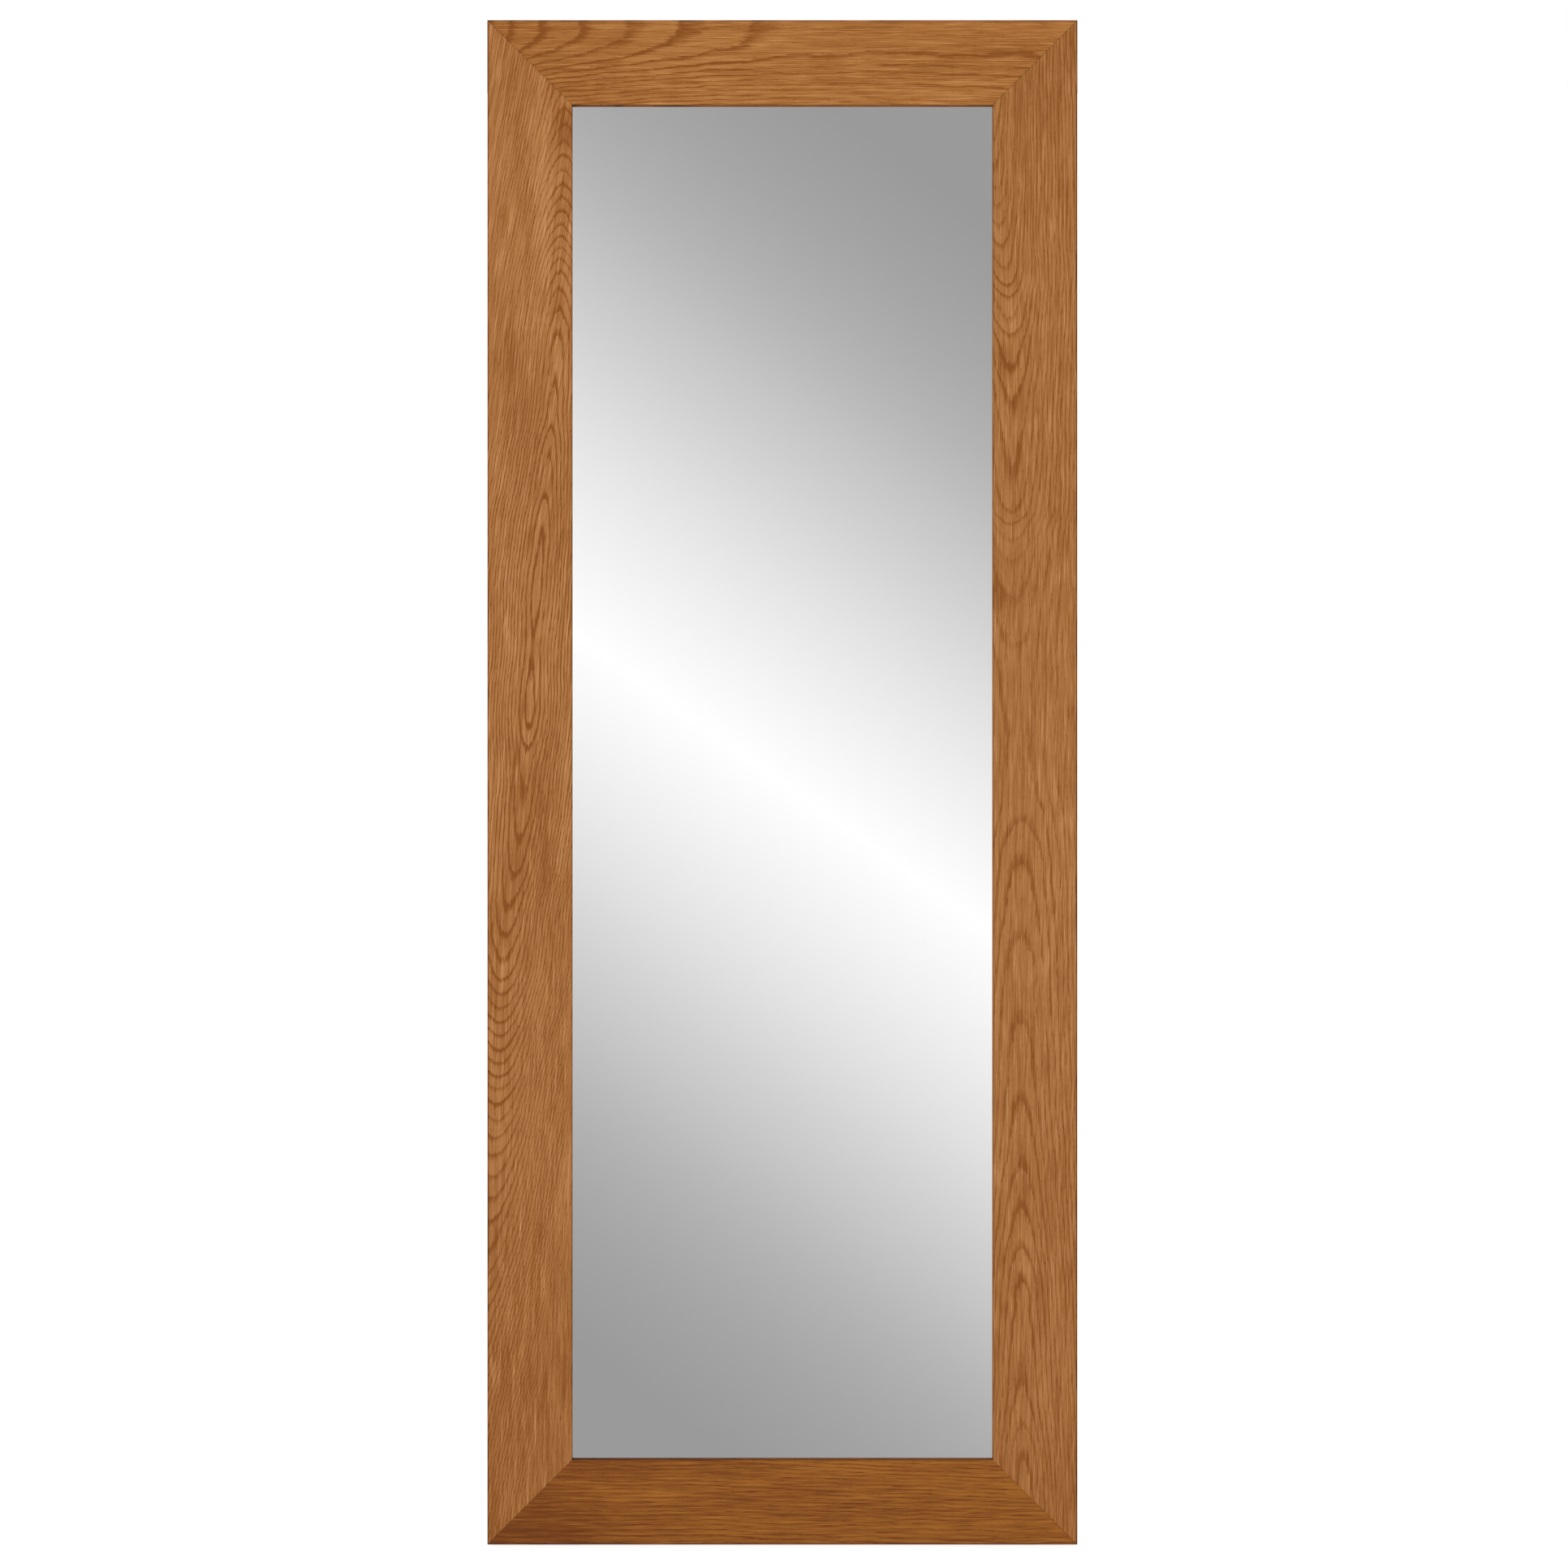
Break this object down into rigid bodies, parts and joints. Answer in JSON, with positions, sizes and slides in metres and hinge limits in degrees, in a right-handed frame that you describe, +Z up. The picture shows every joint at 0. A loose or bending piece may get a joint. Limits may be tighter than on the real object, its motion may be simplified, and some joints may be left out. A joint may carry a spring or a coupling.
{
  "type": "floor mirror",
  "caption": "Full-length floor mirror: a plain pane in a flat mitred oak frame that leans back on a hinged strut held open by hooked stays.",
  "frame": {"origin": "middle of the footprint of the standing mirror's bounding box, on the floor", "axes": "+Z up, -Y the way the mirror faces, +X to the right as seen by someone facing the mirror"},
  "size_m": [0.698, 0.3992, 1.7863],
  "materials": {
    "oak_frame": "satin clear lacquer",
    "oak_strut": "sanded, thin oil",
    "beech": "bare",
    "mirror": "silvered float glass",
    "backing_board": "bare fibreboard",
    "plate_steel": "bright zinc plate",
    "hinge_steel": "yellow zinc plate",
    "screw_steel": "yellow zinc plate",
    "rubber": "matte"
  },
  "bodies": {
    "frame": {"backing_board": "backing_board", "batten_screws": "screw_steel", "bottom_rail": "oak_frame", "clip_screws": "screw_steel", "corner_plate_screws": "screw_steel", "corner_plates": "plate_steel", "frame_left_foot_pad": "rubber", "frame_right_foot_pad": "rubber", "glass_setting_blocks": "rubber", "hinge_batten": "oak_strut", "hinge_batten_screws": "screw_steel", "hinge_left_fixed_leaf": "hinge_steel", "hinge_left_pin": "hinge_steel", "hinge_right_fixed_leaf": "hinge_steel", "hinge_right_pin": "hinge_steel", "left_stile": "oak_frame", "mirror_glass": "mirror", "mitre_biscuits": "beech", "retaining_clips": "plate_steel", "right_stile": "oak_frame", "stay_bracket_screws": "screw_steel", "stay_left_bracket": "plate_steel", "stay_left_rivet": "plate_steel", "stay_right_bracket": "plate_steel", "stay_right_rivet": "plate_steel", "top_rail": "oak_frame"},
    "strut": {"hinge_leaf_screws": "screw_steel", "hinge_left_moving_leaf": "hinge_steel", "hinge_right_moving_leaf": "hinge_steel", "peg_plate_screws": "screw_steel", "stay_left_peg": "plate_steel", "stay_left_peg_plate": "plate_steel", "stay_right_peg": "plate_steel", "stay_right_peg_plate": "plate_steel", "strut_dowels": "beech", "strut_left_foot_pad": "rubber", "strut_left_leg": "oak_strut", "strut_low_rail": "oak_strut", "strut_right_foot_pad": "rubber", "strut_right_leg": "oak_strut", "strut_top_rail": "oak_strut"},
    "stay_left": {"stay_left_bar": "plate_steel"},
    "stay_right": {"stay_right_bar": "plate_steel"}
  },
  "joints": [
    {"name": "strut_hinge", "type": "hinge", "parent": "frame", "child": "strut", "pos_m": [0, 0.03843, 1.16268], "axis": [-1, 0, 0], "range_deg": [0, 17]},
    {"name": "stay_left_hinge", "type": "hinge", "parent": "frame", "child": "stay_left", "pos_m": [-0.32725, -0.11083, 0.29535], "axis": [1, 0, 0], "range_deg": [0, 88.5]},
    {"name": "stay_right_hinge", "type": "hinge", "parent": "frame", "child": "stay_right", "pos_m": [0.32725, -0.11083, 0.29535], "axis": [1, 0, 0], "range_deg": [0, 88.5]}
  ]
}
